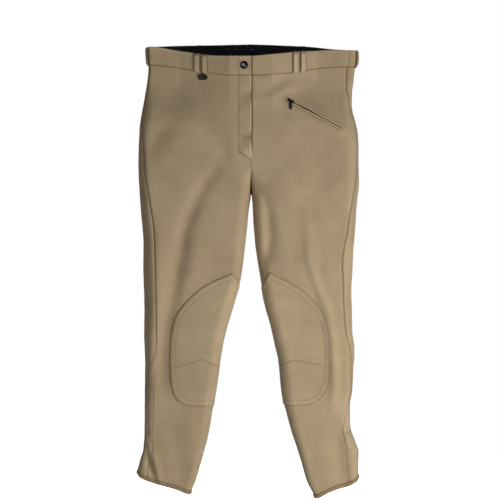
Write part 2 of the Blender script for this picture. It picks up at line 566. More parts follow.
row_steps = [*np.arange(-45, -214, -3.0), *np.arange(FLAP_CORNER, FLAP_END - 0.1, -1.5), FLAP_END - 0.1,
             *np.arange(-231, -799, -3.0), -799.4, -800.6, *np.arange(-803, -925.1, -2.5)]
legs = {}
for side in SIDES:
    u = np.sin(np.linspace(0, 1, 92) * np.pi / 2)[None, :]
    low_seam = seam_share(side, -905.0)
    top_seam, top_end = seam_share(side, -45.0), front_end(side, np.array(-45.0))
    z = rows_between(side, low_seam + (1 - low_seam) * u, FRONT_BOTTOM, row_steps,
                     top_seam + (top_end - top_seam) * u)
    start, end = seam_share(side, z), front_end(side, z)
    p = start + (end - start) * u
    points = cloth(side, z, p)
    middle = (cloth(side, -500.0, 0.5) + cloth(side, -500.0, -0.5)) / 2
    beside_fly = 1.2 * np.exp(-((points[..., 0] - 2.3) / 1.5) ** 2) * ease((z + 216) / 14) * (side == "left")
    front = cloth_piece("leg_front_" + side, points, points - middle, twill, 1.1, "garment",
                        ["front_panel_" + side], np.maximum(seam_shade(side, z, p), beside_fly),
                        in_pocket_slot if side == "left" else None)
    u = np.linspace(0, 1, 120)[None, :]
    z = rows_between(side, back_columns(u, 0.004), BACK_BOTTOM, row_steps, back_columns(u, 0.08))
    p = back_columns(u, np.where(z > VENT_TOP, seam_share(side, z), 0.004))
    points = cloth(side, z, p)
    back = cloth_piece("leg_back_" + side, points, points - middle, twill, 1.1, "garment",
                       ["back_panel_" + side], seam_shade(side, z, p))
    legs[side] = front, back


# The stitching: spun polyester thread in the cloth's own colour, sewn as a row of short lockstitches that
# pull slightly into the cloth at both ends.
thread, tree = new_material("matt polyester thread")
place = add(tree, "ShaderNodeTexCoord").outputs["Object"]
ply = add(tree, "ShaderNodeTexNoise", Vector=place, Scale=900.0, Detail=1.0)
tone = two_tone(tree, ply.outputs[0], "#8d775c", "#bda687")
fuzz = add(tree, "ShaderNodeBump", Strength=0.3, Distance=0.0002, Height=ply.outputs[0])
spun = add(tree, "ShaderNodeBsdfPrincipled", Base_Color=tone.outputs[0], Roughness=0.7,
           Normal=fuzz.outputs[0])
spun.inputs["Sheen Weight"].default_value = 0.2
add(tree, "ShaderNodeOutputMaterial", Surface=spun.outputs[0])


def trace(points, step):
    """Evenly spaced (x, z) places on the smooth line through the points, by its length along them."""
    points = np.array(points, float)
    run = np.concatenate([[0], np.cumsum(np.linalg.norm(np.diff(points, axis=0), axis=1))])
    s = np.linspace(0, run[-1], max(int(run[-1] / step), 2) + 1)
    return np.stack([through(list(zip(run, points[:, 0])), s), through(list(zip(run, points[:, 1])), s)], 1)


def on_front(side, x, z, lift=0.0):
    """Points on the front of a leg at X and Z, lifted off the cloth."""
    return cloth(side, z, share_at(side, x, z), lift)


def stitch_rows(name, rows, body="garment", size=(2.5, 0.55, 0.34), pitch=3.3):
    """Stitches along rows, each (points, vectors out of the cloth). A stitch is a six-sided tube of four
    rings: centre + along * t * length + (across * w cos a + out * h sin a) * taper(t)."""
    length, wide, high = size
    t = np.array([-0.5, -0.28, 0.28, 0.5])
    taper = np.array([0.25, 1.0, 1.0, 0.25])
    a = np.arange(6) * np.pi / 3
    meshes, faces, count = [], [], 0
    ring = grid_faces(4, 6, around=True)
    caps = np.array([[5, 4, 3, 2, 1, 0], [18, 19, 20, 21, 22, 23]])
    for points, out in rows:
        run = np.concatenate([[0], np.cumsum(np.linalg.norm(np.diff(points, axis=0), axis=1))])
        s = np.arange(pitch * 0.5, run[-1], pitch)
        at, ahead, up = (np.stack([np.interp(w, run, v[:, k]) for k in range(3)], 1)
                         for w, v in ((s, points), (np.minimum(s + 0.4, run[-1]), points), (s, out)))
        along = ahead - at
        at = at[np.linalg.norm(along, axis=1) > 0.1]
        up, along = up[:len(at)], along[:len(at)]
        along /= np.linalg.norm(along, axis=1, keepdims=True)
        across = np.cross(along, up)
        across /= np.linalg.norm(across, axis=1, keepdims=True)
        up = np.cross(across, along)
        body_points = (at[:, None, None] + along[:, None, None] * (t * length)[None, :, None, None]
                       + taper[None, :, None, None] * (
                           across[:, None, None] * (wide / 2 * np.cos(a))[None, None, :, None]
                           + up[:, None, None] * (high * np.sin(a))[None, None, :, None]))
        meshes.append(body_points.reshape(-1, 3))
        starts = count + np.arange(len(at)) * 24
        faces += (ring[None] + starts[:, None, None]).reshape(-1, 4).tolist()
        faces += (caps[None] + starts[:, None, None]).reshape(-1, 6).tolist()
        count += len(at) * 24
    piece = put_mesh(name, np.concatenate(meshes), faces)
    piece.data.materials.append(thread)
    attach(piece, body)
    return piece


def front_row(side, line, lift=0.1):
    """A stitch row along (x, z) places on the front of a leg."""
    points = on_front(side, line[:, 0], line[:, 1], lift)
    return points, on_front(side, line[:, 0], line[:, 1], lift + 1) - points


# The side seams are overlocked and topstitched with one row towards the front.
for side in SIDES:
    z = np.arange(-60, -800, -2.0)
    x = through(OUTER[side], z) - SIDES[side] * (through(SEAM_LINE[side], z) + 2.6)
    stitch_rows("side_stitches_" + side, [front_row(side, np.stack([x, z], 1))])


# The waistband: a folded strip of the same twill 40 mm deep, sewn over the panels' top edges, its top fold
# edge-stitched. On the right it ends at the fly flap, whose tab continues it and carries the snap.
BAND_PROFILE = [(-7.0, -1.9), (-1.6, -1.9), (-0.5, -1.6), (0.0, -0.5), (0.1, 0.2), (-0.4, 0.8), (-1.2, 1.05),
                (-2.2, 0.85), (-3.2, 1.0)]


def band_points(side, p, top_line, bottom_line):
    """Band rows from inside the top fold, over it and down to the lower seam. z is the row's drop below the
    top line, or its share of the band's depth; the lift is the fold's profile, then 1 mm, then 0 at the
    seam. Puckers stand beside the snap: sin(x * 2 pi / 5.3) within 10 mm of x = -35."""
    drops = np.array([d for d, _ in BAND_PROFILE] + [0] * 16, float)[:, None]
    lifts = np.array([l for _, l in BAND_PROFILE] + [1.0] * 16, float)[:, None]
    share = np.concatenate([np.zeros(len(BAND_PROFILE)), np.linspace(0.1, 1.0, 16)])[:, None]
    z = np.full((len(drops), p.shape[1]), -20.0)
    for _ in range(3):
        x = leg_point(side, z, p)[0]
        top, low = through(top_line, x), through(bottom_line, x)
        z = np.where(share > 0, top + (low - 0.6 - top) * share, top + drops)
    to_seam = z - (low - 0.6)
    lift = np.where(share > 0, lifts * (1 - (1 - np.clip(to_seam / 2.0, 0, 1)) ** 2) - 0.1, lifts)
    x = leg_point(side, z, p)[0]
    wave = ripple(x, z * 0.3, 11, (140, 86, 51), 0.55)
    pucker = 0.34 * np.sin(x * 2 * np.pi / 5.3) * np.exp(-((x + 36) / 9.0) ** 2) * (p > 0)
    return cloth(side, z, p, lift + (wave + pucker) * ease((top - z) / 6) * ease(to_seam / 8)), z, to_seam


def band_piece(name, parts, nodes, body="garment"):
    """A band from one or two runs of columns, each (side, p, top line, bottom line)."""
    made = [band_points(side, p, top, low) for side, p, top, low in parts]
    points = np.concatenate([m[0] for m in made], 1)
    to_seam = np.concatenate([m[2] for m in made], 1)
    seam = np.exp(-(to_seam / 1.5) ** 2) - 0.3 * np.exp(-((to_seam - to_seam[9:10] - 0.5) / 1.6) ** 2)
    if name == "band_front_left":
        seam = np.maximum(seam, 1.2 * np.exp(-((points[..., 0] - 2.3) / 1.5) ** 2))
    elif name == "band_tab":
        seam = seam - 0.5 * np.exp(-((points[..., 0] + 0.8) / 1.2) ** 2)
    away = np.concatenate([cloth(side, m[1], p, 1.0) - cloth(side, m[1], p)
                           for m, (side, p, _, _) in zip(made, parts)], 1)
    cloth_piece(name, points, away, twill, 0.9, body, nodes, seam)


tab_start = float(share_at("right", FLAP_X - 0.4, -30.0))
right_front = 0.001 + (tab_start - 0.001) * np.linspace(0, 1, 96)[None, :] ** 1.3
left_front = 0.001 + 0.999 * (1 - np.linspace(1, 0, 110)[None, :] ** 0.8) ** 1.3
band_piece("band_front_right", [("right", right_front, FRONT_TOP, FRONT_BOTTOM)], ["waistband_front_right"])
band_piece("band_front_left", [("left", left_front, FRONT_TOP, FRONT_BOTTOM)], ["waistband_front_left"])
back_half = np.linspace(0, 1, 80)[None, :] ** 1.3
band_piece("band_back", [("right", -0.001 - 0.999 * back_half, BACK_TOP, BACK_BOTTOM),
                         ("left", -0.001 - 0.999 * back_half[:, ::-1], BACK_TOP, BACK_BOTTOM)],
           ["waistband_back"])

band_rows = []
for side, first, last in (("right", -215.0, -30.0), ("left", 3.0, 218.0)):
    x = np.arange(first, last, 1.5)
    z = through(FRONT_TOP, x) - 2.4
    band_rows.append((on_front(side, x, z, 0.95), on_front(side, x, z, 1.95) - on_front(side, x, z, 0.95)))
stitch_rows("band_edge_stitches", band_rows)


# Inside, the band is faced with a printed navy cotton with small pale dots, over a knitted elastic at the
# back that gathers it to the waist.
navy, tree = new_material("printed navy cotton poplin")
place = add(tree, "ShaderNodeTexCoord").outputs["Object"]
spots = add(tree, "ShaderNodeTexVoronoi", Vector=place, Scale=1000 / 9.0, Randomness=0.85)
spot = add(tree, "ShaderNodeMapRange", Value=spots.outputs["Distance"], From_Min=0.10, From_Max=0.14,
           To_Min=1.0, To_Max=0.0)
pick = add(tree, "ShaderNodeSeparateColor", Color=spots.outputs["Color"])
yellow = add(tree, "ShaderNodeMath", {"operation": "GREATER_THAN"}, i0=pick.outputs[0], i1=0.7)
print_tone = add(tree, "ShaderNodeMix", {"data_type": "RGBA"}, i0=yellow.outputs[0], i6=colour("#8f93a3"),
                 i7=colour("#8d8349"))
thread_noise = add(tree, "ShaderNodeTexNoise", Vector=place, Scale=700.0, Detail=2.0)
ground = two_tone(tree, thread_noise.outputs[0], "#05060c", "#141627")
dotted = add(tree, "ShaderNodeMix", {"data_type": "RGBA"}, i0=spot.outputs[0], i6=ground.outputs[0],
             i7=print_tone.outputs["Result"])
poplin_bump = add(tree, "ShaderNodeBump", Strength=0.25, Distance=0.0003, Height=thread_noise.outputs[0])
poplin = add(tree, "ShaderNodeBsdfPrincipled", Base_Color=dotted.outputs["Result"], Roughness=0.8,
             Normal=poplin_bump.outputs[0])
poplin.inputs["Sheen Weight"].default_value = 0.1
add(tree, "ShaderNodeOutputMaterial", Surface=poplin.outputs[0])


def dress(node, material):
    """A CAD node that stays gets this material in place of its own."""
    data = frame["nodes"][node].data
    data.materials.clear()
    data.materials.append(material)


for node in ("lining_front_right", "lining_front_left", "lining_back"):
    dress(node, navy)

elastic, tree = new_material("knitted white elastic")
place = add(tree, "ShaderNodeTexCoord").outputs["Object"]
ribs = add(tree, "ShaderNodeTexWave", {"bands_direction": "Z"}, Vector=place, Scale=1000 / 2.0 / (2 * np.pi))
rib_tone = two_tone(tree, ribs.outputs["Fac"], "#bdb9ac", "#e9e6dc")
knit_bump = add(tree, "ShaderNodeBump", Strength=0.5, Distance=0.0005, Height=ribs.outputs["Fac"])
rubber_knit = add(tree, "ShaderNodeBsdfPrincipled", Base_Color=rib_tone.outputs[0], Roughness=0.85,
                  Normal=knit_bump.outputs[0])
add(tree, "ShaderNodeOutputMaterial", Surface=rubber_knit.outputs[0])
dress("waist_elastic", elastic)


# The belt loops: strips of twill folded in three to 11.5 mm, stitched along both edges, each bartacked to
# the band's top edge and just below its lower seam, with room for a belt behind.
LOOP_WIDE = 11.5
LOOPS = {"front_right_outer": ("right", -112.5, 1), "front_right_inner": ("right", -96.5, 1),
         "front_left_inner": ("left", 93.5, 1), "front_left_outer": ("left", 109.5, 1),
         "back_right": ("right", -108.0, -1), "back_centre": ("right", 0.0, -1),
         "back_left": ("left", 108.0, -1),
         "side_right": ("right", 0.0, 0), "side_left": ("left", 0.0, 0)}


def loop_place(side, x, facing, across, z, lift):
    """Points of a loop. On the front and back, across is added to X. At the side it is a distance round the
    fold: y = across, so p = r / width * (1 - sqrt(1 - (across / depth)^2)) with the sign of across."""
    width = np.abs(through(INNER[side], z) - through(OUTER[side], z))
    if facing == 0:
        turn = 6.3 / width * (1 - np.sqrt(1 - np.clip(across / 7.0, -1, 1) ** 2))
        return cloth(side, z, np.where(across < 0, -turn, turn), lift)
    if x == 0:
        first, second = cloth("right", z, -1.0, lift), cloth("left", z, -1.0, lift)
        point = (first + second) / 2
        return point + np.stack([across, 0 * across, 0 * across], -1)
    p = share_at(side, x + across, z)
    return cloth(side, z, p * facing, lift)


for name, (side, x, facing) in LOOPS.items():
    top = float(through(FRONT_TOP if facing >= 0 else BACK_TOP, x if facing else SIDES[side] * 219))
    low = float(through(FRONT_BOTTOM if facing >= 0 else BACK_BOTTOM, x if facing else SIDES[side] * 219))
    v = np.concatenate([[-0.04, -0.02, 0.0, 0.012, 0.03], np.linspace(0.06, 0.95, 22), [0.97, 0.985, 1.0]])
    z = (top + 0.6 + (low - 3.4 - top) * np.abs(v))[:, None]
    z = np.where(v[:, None] < 0, top - 4.0, z)
    a = np.concatenate([[-1.0, -0.985, -0.93], np.linspace(-0.85, 0.85, 17),
                        [0.93, 0.985, 1.0]]) * LOOP_WIDE / 2
    across, z = np.broadcast_arrays(a[None, :], z)
    edge = np.abs(across) / (LOOP_WIDE / 2)
    round_off = 0.9 * (1 - np.clip((edge - 0.86) / 0.14, 0, 1) ** 2)
    groove = 0.28 * np.exp(-((np.abs(across) - 3.9) / 0.55) ** 2)
    ends = np.minimum(v, 1 - v)[:, None]
    bow = 2.9 * ease(ends / 0.16) ** 0.7
    tuck = np.where(v[:, None] < 0, -3.0, np.where(v[:, None] < 0.02, -1.2, 0.0))
    bar = 0.35 * np.exp(-((ends - 0.055) / 0.02) ** 2)
    if facing == 0:
        across = across * 0.98
    points = loop_place(side, x, facing, across, z, 1.3 + round_off - groove + bow + tuck - bar)
    away = points - np.array([0.0, 0.0, -20.0]) if facing == 0 else np.array([0.0, -facing, 0.0])
    cloth_piece("belt_loop_strap_" + name, points, away, twill, 1.1, "garment",
                ["belt_loop_" + name], 1.1 * np.exp(-((LOOP_WIDE / 2 - np.abs(across)) / 0.9) ** 2)
                - 0.25 * (np.abs(across) < 4.2))
    columns = np.array([3, len(a) - 4])
    rows = [(points[5:-3, c], np.broadcast_to(away[5:-3, c] if facing == 0 else away, points[5:-3, c].shape))
            for c in columns]
    stitch_rows("belt_loop_stitches_" + name, rows, pitch=2.8, size=(2.1, 0.5, 0.3))
    tacks = []
    for row in (5, 6, len(v) - 5, len(v) - 4):
        tacks.append((points[row, 3:-3], np.broadcast_to(away[row, 3:-3] if facing == 0 else away,
                                                         points[row, 3:-3].shape)))
    stitch_rows("belt_loop_bartacks_" + name, tacks, pitch=1.0, size=(0.5, 1.6, 0.35))


# The fly: a faced flap of the right front that laps over the zip to the centre, edge-folded, and topstitched
# 23 mm in with a slanting end. It turns back from the hinge line. The tab above it does the same.
u = (1 - np.cos(np.linspace(0, 1, 26) * np.pi)) / 2
v = np.linspace(0, 1, 74)[:, None]
FLAP_START, FLAP_END = FLAP_X - 0.08, 0.9
CREASE_TOP, CREASE_MIDDLE, STITCHED_X = -97, -181, -23.0
x = FLAP_START + u[None, :] * (FLAP_END - FLAP_START)
top = through(FRONT_BOTTOM, x) - 0.3
z = top + (through(FLAP_LOW, x) - top) * v
to_edge, to_end = FLAP_END - x, z - through(FLAP_LOW, x)
from_hinge = x - FLAP_START
lift = 1.15 - 1.5 * (1 - np.clip(to_edge / 1.5, 0, 1)) ** 2 - 0.9 * (1 - np.clip(to_end / 2.0, 0, 1)) ** 2
lift = lift * ease(from_hinge / 3.0 + 0.02) + ripple(x, z, 21, (31, 44, 23), 0.32) * ease(from_hinge / 8)
lift = lift - 0.3 * np.exp(-((x - STITCHED_X) / 0.9) ** 2)
lift = lift - 2.8 * np.exp(-((z - CREASE_TOP) / 12.0) ** 2) * ease(from_hinge / 9)
lift = lift - 3.0 * np.exp(-((z - CREASE_MIDDLE) / 10.0) ** 2) * ease(from_hinge / 9)
lift = lift + 1.3 * np.exp(-((z + 206 - x * 0.5) / 9.0) ** 2) * ease(from_hinge / 14)
flap_share = share_at("right", np.minimum(x, -0.6), z)
points = cloth("right", z, flap_share, lift)
points[..., 0] += np.maximum(x + 0.6, 0)
seam = (0.22 * np.exp(-((x - STITCHED_X) / 0.9) ** 2) + np.exp(-(to_end / 0.9) ** 2)
        + 0.36 * np.exp(-((z + 183) / 9.0) ** 2) * ease((x + 23) / 6)
        + 0.22 * np.exp(-((z - CREASE_TOP) / 13.0) ** 2) * ease((x - STITCHED_X) / 6)
        - 0.5 * np.exp(-((to_edge - 1) / 1.2) ** 2)
        - 0.3 * ease((x + 21) / 12) * ease((-197 + x * 0.6 - z) / 5))
cloth_piece("fly_flap_cloth", points, (0.0, -1.0, 0.0), twill, 1.0, "fly_flap", ["fly_placket"],
            seam)
down = trace([(FLAP_X + 4.0, -56.0), (FLAP_X + 4.0, -120.0), (FLAP_X + 4.0, -212.0)], 1.5)
slant = trace([(FLAP_X + 4.0, -213.5), (-12.0, -218.6), (-1.5, -223.5)], 1.5)
stitch_rows("fly_flap_stitches", [front_row("right", down, 0.95), front_row("right", slant, 1.0)], "fly_flap")

# Below the zip the opening is faced inside with a strip of the same twill.
x = np.linspace(-33.0, -0.6, 16)[None, :]
z = np.linspace(-213.5, -242.0, 14)[:, None] + 0 * x
cloth_piece("fly_facing_cloth", cloth("right", z, share_at("right", x, z), -2.6), (0.0, -1.0, 0.0), twill,
            0.8,
            "garment")

# The tab: the band's own end, turned under at the centre.
p = share_at("right", np.linspace(FLAP_X + 0.1, -0.5, 30), -30.0)[None, :]
band_piece("band_tab", [("right", p, FRONT_TOP, FRONT_BOTTOM)], ["waistband_tab"], "fly_flap")
x = np.arange(FLAP_X + 1.0, -2.0, 1.2)
z = through(FRONT_TOP, x) - 2.4
edge = np.stack([np.full(20, -2.6), np.linspace(-16, -50, 20)], 1)
stitch_rows("band_tab_stitches", [front_row("right", np.stack([x, z], 1), 0.95),
                                  front_row("right", edge, 1.15)],
            "fly_flap")

# Behind the flap: the zip's woven tapes, a row of moulded coil teeth, a black enamelled slider with its
# pull, and a shield of twill. The snap's stud sits on the band's underlap.
tape, tree = new_material("woven black polyester tape")
place = add(tree, "ShaderNodeTexCoord").outputs["Object"]
ribs = add(tree, "ShaderNodeTexWave", {"bands_direction": "DIAGONAL"}, Vector=place,
           Scale=1000 / 1.2 / (2 * np.pi))
weave = add(tree, "ShaderNodeTexNoise", Vector=place, Scale=900.0)
tone = two_tone(tree, weave.outputs[0], "#141310", "#2b2925")
tape_bump = add(tree, "ShaderNodeBump", Strength=0.4, Distance=0.0003, Height=ribs.outputs["Fac"])
woven = add(tree, "ShaderNodeBsdfPrincipled", Base_Color=tone.outputs[0], Roughness=0.8,
            Normal=tape_bump.outputs[0])
add(tree, "ShaderNodeOutputMaterial", Surface=woven.outputs[0])
for node in ("fly_zip_tape_right", "fly_zip_tape_left", "pocket_zip_tape_upper", "pocket_zip_tape_lower"):
    dress(node, tape)

coil, tree = new_material("moulded black nylon")
place = add(tree, "ShaderNodeTexCoord").outputs["Object"]
haze = add(tree, "ShaderNodeTexNoise", Vector=place, Scale=600.0)
tone = two_tone(tree, haze.outputs[0], "#121213", "#262628")
worn = add(tree, "ShaderNodeMapRange", Value=haze.outputs[0], To_Min=0.35, To_Max=0.5)
nylon = add(tree, "ShaderNodeBsdfPrincipled", Base_Color=tone.outputs[0], Roughness=worn.outputs[0], IOR=1.53)
add(tree, "ShaderNodeOutputMaterial", Surface=nylon.outputs[0])
for node in ("fly_zip_teeth", "pocket_zip_teeth"):
    dress(node, coil)

# Zinc die casting, black enamelled and satin: the enamel is thin on the edges, where grey zinc shows.
enamel, tree = new_material("black enamelled zinc")
place = add(tree, "ShaderNodeTexCoord").outputs["Object"]
scuffs = add(tree, "ShaderNodeTexNoise", Vector=place, Scale=380.0, Detail=3.0)
edges = add(tree, "ShaderNodeNewGeometry").outputs["Pointiness"]
bare = weighed(tree, scuffs.outputs[0], 0.12, edges)
bare = add(tree, "ShaderNodeMapRange", Value=bare.outputs[0], From_Min=0.66, From_Max=0.74)
tone = add(tree, "ShaderNodeMix", {"data_type": "RGBA"}, i0=bare.outputs[0], i6=colour("#0a0a0b"),
           i7=colour("#6f7073"))
gloss = add(tree, "ShaderNodeMapRange", Value=scuffs.outputs[0], To_Min=0.4, To_Max=0.58)
cast = add(tree, "ShaderNodeBsdfPrincipled", Base_Color=tone.outputs["Result"], Roughness=gloss.outputs[0],
           Metallic=bare.outputs[0])
cast.inputs["Coat Weight"].default_value = 0.1
cast.inputs["Coat Roughness"].default_value = 0.25
add(tree, "ShaderNodeOutputMaterial", Surface=cast.outputs[0])
for node in ("fly_slider", "fly_pull", "fly_zip_stop", "pocket_slider", "pocket_pull", "pocket_zip_stop",
             "waist_tab_ring"):
    dress(node, enamel)

# The twill pieces that stay as they were cut: flat facings behind the closures. Their weave follows the
# piece's own length, width and depth.
plain_twill = cloth_material("stretch cotton twill facing", "#a08c6e", "#ad9979", "#8d7a5c", uv=False)
for node in ("fly_shield", "waistband_underlap"):
    dress(node, plain_twill)


# The snap: a gunmetal-plated brass cap with a domed face and a turned rim, crimped through the tab to its
# socket. The stud is on the underlap. The plating is rubbed pale on the crown, where it is pressed shut.
gunmetal, tree = new_material("gunmetal plated brass")
place = add(tree, "ShaderNodeTexCoord").outputs["Object"]
scratch = add(tree, "ShaderNodeTexNoise", Vector=place, Scale=520.0, Detail=4.0, Roughness=0.7)
tone = two_tone(tree, scratch.outputs[0], "#1d1e20", "#3a3b3e")
crown = add(tree, "ShaderNodeAttribute", {"attribute_name": "rubbed"})
tone = add(tree, "ShaderNodeMix", {"data_type": "RGBA"}, i0=crown.outputs["Fac"], i6=tone.outputs[0],
           i7=colour("#c3d0da"))
gloss = add(tree, "ShaderNodeMapRange", Value=scratch.outputs[0], To_Min=0.26, To_Max=0.42)
plated = add(tree, "ShaderNodeBsdfPrincipled", Base_Color=tone.outputs["Result"], Roughness=gloss.outputs[0],
             Metallic=1.0)
add(tree, "ShaderNodeOutputMaterial", Surface=plated.outputs[0])
for node in ("snap_socket", "snap_stud", "snap_stud_back"):
    dress(node, gunmetal)

SNAP_RINGS = [(0.001, 4.0), (1.5, 3.93), (3.0, 3.7), (4.4, 3.3), (5.5, 2.75), (6.2, 2.2), (6.6, 1.75),
              (6.9, 1.62), (7.25, 1.72), (7.7, 1.95), (8.15, 1.8), (8.45, 1.3), (8.5, 0.7), (8.2, 0.1),
              (7.4, -0.2), (0.001, -0.2)]
centre_low, centre_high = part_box("snap_cap")
snap_x, snap_z = [(centre_low[k] + centre_high[k]) * 500.0 for k in (0, 2)]
rings = np.array(SNAP_RINGS)
SNAP_ROUND, BADGE_ROUND = 56, 64
turn = np.arange(SNAP_ROUND) * 2 * np.pi / SNAP_ROUND
band_face = float(on_front("right", snap_x, snap_z, 1.0)[1])
points = np.stack([snap_x + rings[:, :1] * np.cos(turn), band_face + 0.3 - rings[:, 1:] + 0 * turn,
                   snap_z + rings[:, :1] * np.sin(turn)], -1)
faces = outwards(points, grid_faces(len(rings), SNAP_ROUND, around=True), points
                 - [snap_x, band_face, snap_z])
snap_dome = put_mesh("snap_dome", points, faces)
rubbed = snap_dome.data.attributes.new("rubbed", "FLOAT", "POINT")
off_centre = np.hypot(points[..., 0] - snap_x + 1.2, points[..., 2] - snap_z - 0.6)
rubbed.data.foreach_set("value", np.exp(-(off_centre / 3.0) ** 4).astype(np.float32).ravel())
snap_dome.data.materials.append(gunmetal)
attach(snap_dome, "fly_flap")
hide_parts("snap_cap")


# The hip pocket: a slanting slot with two narrow welts of folded twill, edge-stitched all round, over a
# black zip. It gapes a little in the middle. The bags behind are plain cotton.
run = np.linspace(-5.5, POCKET_RUN + 5.5, 120)[:, None]
profile = np.array([(0.45, -2.2), (0.35, -0.8), (0.5, 0.45), (1.1, 1.15), (2.2, 1.5), (3.4, 1.4), (4.3, 1.1),
                    (4.8, 0.7), (5.2, 0.3), (5.6, 0.05), (5.9, -0.4)])
gape = 1.3 * np.exp(-((run - 0.36 * POCKET_RUN) / 20.0) ** 2)
ends = np.clip((run + 5.5) / 4.6, 0, 1) * np.clip((POCKET_RUN + 5.5 - run) / 4.6, 0, 1)
ends = np.sqrt(1 - (1 - ends) ** 2)
across_dir = np.array([-pocket_dir[1], pocket_dir[0]])
for name, way in (("upper", 1.0), ("lower", -1.0)):
    inner = (0.6 if way > 0 else 0.2) + gape * (1.0 if way > 0 else 0.15) + 2.5 * (1 - ease((run - 9.5) / 7))
    off = way * ends * (profile[None, :, 0] + inner * (1 - profile[None, :, 0] / 5.9))
    x = POCKET_TOP[0] + pocket_dir[0] * run + across_dir[0] * off
    z = POCKET_TOP[1] + pocket_dir[1] * run + across_dir[1] * off
    lift = profile[None, :, 1] * np.clip(ends * 1.5, 0, 1) + 0.08 * np.sin(run * 2 * np.pi / 6.0)
    points = on_front("left", x, z, lift)
    outer_edge = (1.5 * np.exp(-((profile[None, :, 0] - 5.2) / 0.6) ** 2)
                  - 0.6 * np.exp(-((profile[None, :, 0] - 2.9) / 1.3) ** 2) + 0 * run)
    cloth_piece("pocket_welt_" + name, points, (0.0, -1.0, 0.0), twill, 0.8, "garment",
                ["pocket_welt"],
                outer_edge)
    middle = on_front("left", x[:, 6], z[:, 6], 0.85)
    stitch_rows("pocket_stitches_" + name, [(middle, on_front("left", x[:, 6], z[:, 6], 1.85) - middle)],
                pitch=2.8, size=(2.1, 0.45, 0.3))

pocketing, tree = new_material("plain cotton pocketing")
place = add(tree, "ShaderNodeTexCoord").outputs["Object"]
weave = add(tree, "ShaderNodeTexNoise", Vector=place, Scale=700.0)
tone = two_tone(tree, weave.outputs[0], "#8f8370", "#b3a68f")
cotton_bump = add(tree, "ShaderNodeBump", Strength=0.3, Distance=0.0003, Height=weave.outputs[0])
cotton = add(tree, "ShaderNodeBsdfPrincipled", Base_Color=tone.outputs[0], Roughness=0.9,
             Normal=cotton_bump.outputs[0])
add(tree, "ShaderNodeOutputMaterial", Surface=cotton.outputs[0])


def even(points, share, smooth=True):
    """The (x, z) places at those shares of the length of the line through the points."""
    points = np.array(points, float)
    run = np.concatenate([[0], np.cumsum(np.linalg.norm(np.diff(points, axis=0), axis=1))])
    at = np.asarray(share) * run[-1]
    if smooth:
        return np.stack([through(list(zip(run, points[:, k])), at) for k in (0, 1)], -1)
    return np.stack([np.interp(at, run, points[:, k]) for k in (0, 1)], -1)


def spanned(left, right, top, low):
    """The grid between four edges, each an array of (x, z): the two ruled surfaces added, less the one
    through the corners."""
    b = np.linspace(0, 1, len(left))[:, None, None]
    a = np.linspace(0, 1, len(top))[None, :, None]
    return ((1 - a) * left[:, None] + a * right[:, None] + (1 - b) * top[None] + b * low[None]
            - (1 - a) * (1 - b) * top[0] - a * (1 - b) * top[-1] - (1 - a) * b * low[0] - a * b * low[-1])


share = np.linspace(0, 1, 40)
bag = spanned(even([(68, -110), (72, -180), (80, -255)], share),
              even([(192, -172), (196, -205), (196, -250)], share),
              even([(68, -110), (192, -172)], share),
              even([(80, -255), (110, -280), (160, -285), (184, -276), (196, -250)], share))
for name, depth in (("front", 2.9), ("back", 4.7)):
    points = on_front("left", bag[..., 0], bag[..., 1], -depth)
    cloth_piece("pocket_bag_cloth_" + name, points, (0.0, -1.0, 0.0), pocketing, 0.5, "garment",
                ["pocket_bag_" + name])


# The knee patches: a second layer of twill over the inside of each knee, from the thigh's inside seam round
# to the back, in an upper and a lower part that meet in a shallow V. Two rows of topstitching 10 mm apart
# hold each edge, and the cloth puckers between them.
patch_twill = cloth_material("stretch cotton twill, second layer", "#ab9777", "#bba685", "#978364")
PATCHES = {
    "right": {"corner": (-38.6, -469.0), "seam_top": -492.5,
              "arc": [(-38.6, -469), (-68.7, -480.7), (-100.8, -497.7), (-128.7, -521.4), (-152.3, -548),
                      (-163, -569.5), (-168.4, -595.4), (-171.4, -633.8), (-171.6, -668.5)],
              "chevron": [(-171.6, -668.5), (-161, -667), (-103, -649.5), (-70.2, -666)],
              "lower": [(-171.6, -668.5), (-169.5, -698), (-161.9, -726), (-150, -741), (-133, -748.4)],
              "hem": [(-133, -748.4), (-105, -749.5), (-79, -749.5)]},
    "left": {"corner": (38.6, -466.6), "seam_top": -495.6,
             "arc": [(38.6, -466.6), (62, -478.6), (94.3, -495.6), (117.8, -512.8), (135, -528.8),
                     (147.8, -548),
                     (157.5, -571.6), (163, -595.4), (166, -633.8), (166, -664)],
             "chevron": [(166, -664), (155, -664), (90, -650.5), (61.5, -662)],
             "lower": [(166, -664), (163, -698), (154.4, -721.8), (143.6, -734.6), (126.4, -744.2)],
             "hem": [(126.4, -744.2), (109.2, -747.4), (83.6, -747.4), (70.5, -747.4)]}}


def nearest(place, line):
    """Each place's distance to a line of (x, z) points, and how far along the line its nearest point is."""
    step = np.concatenate([[0], np.cumsum(np.linalg.norm(np.diff(line, axis=0), axis=1))])
    apart = np.linalg.norm(place[..., None, :] - line, axis=-1)
    which = apart.argmin(-1)
    return apart.min(-1), step[which]


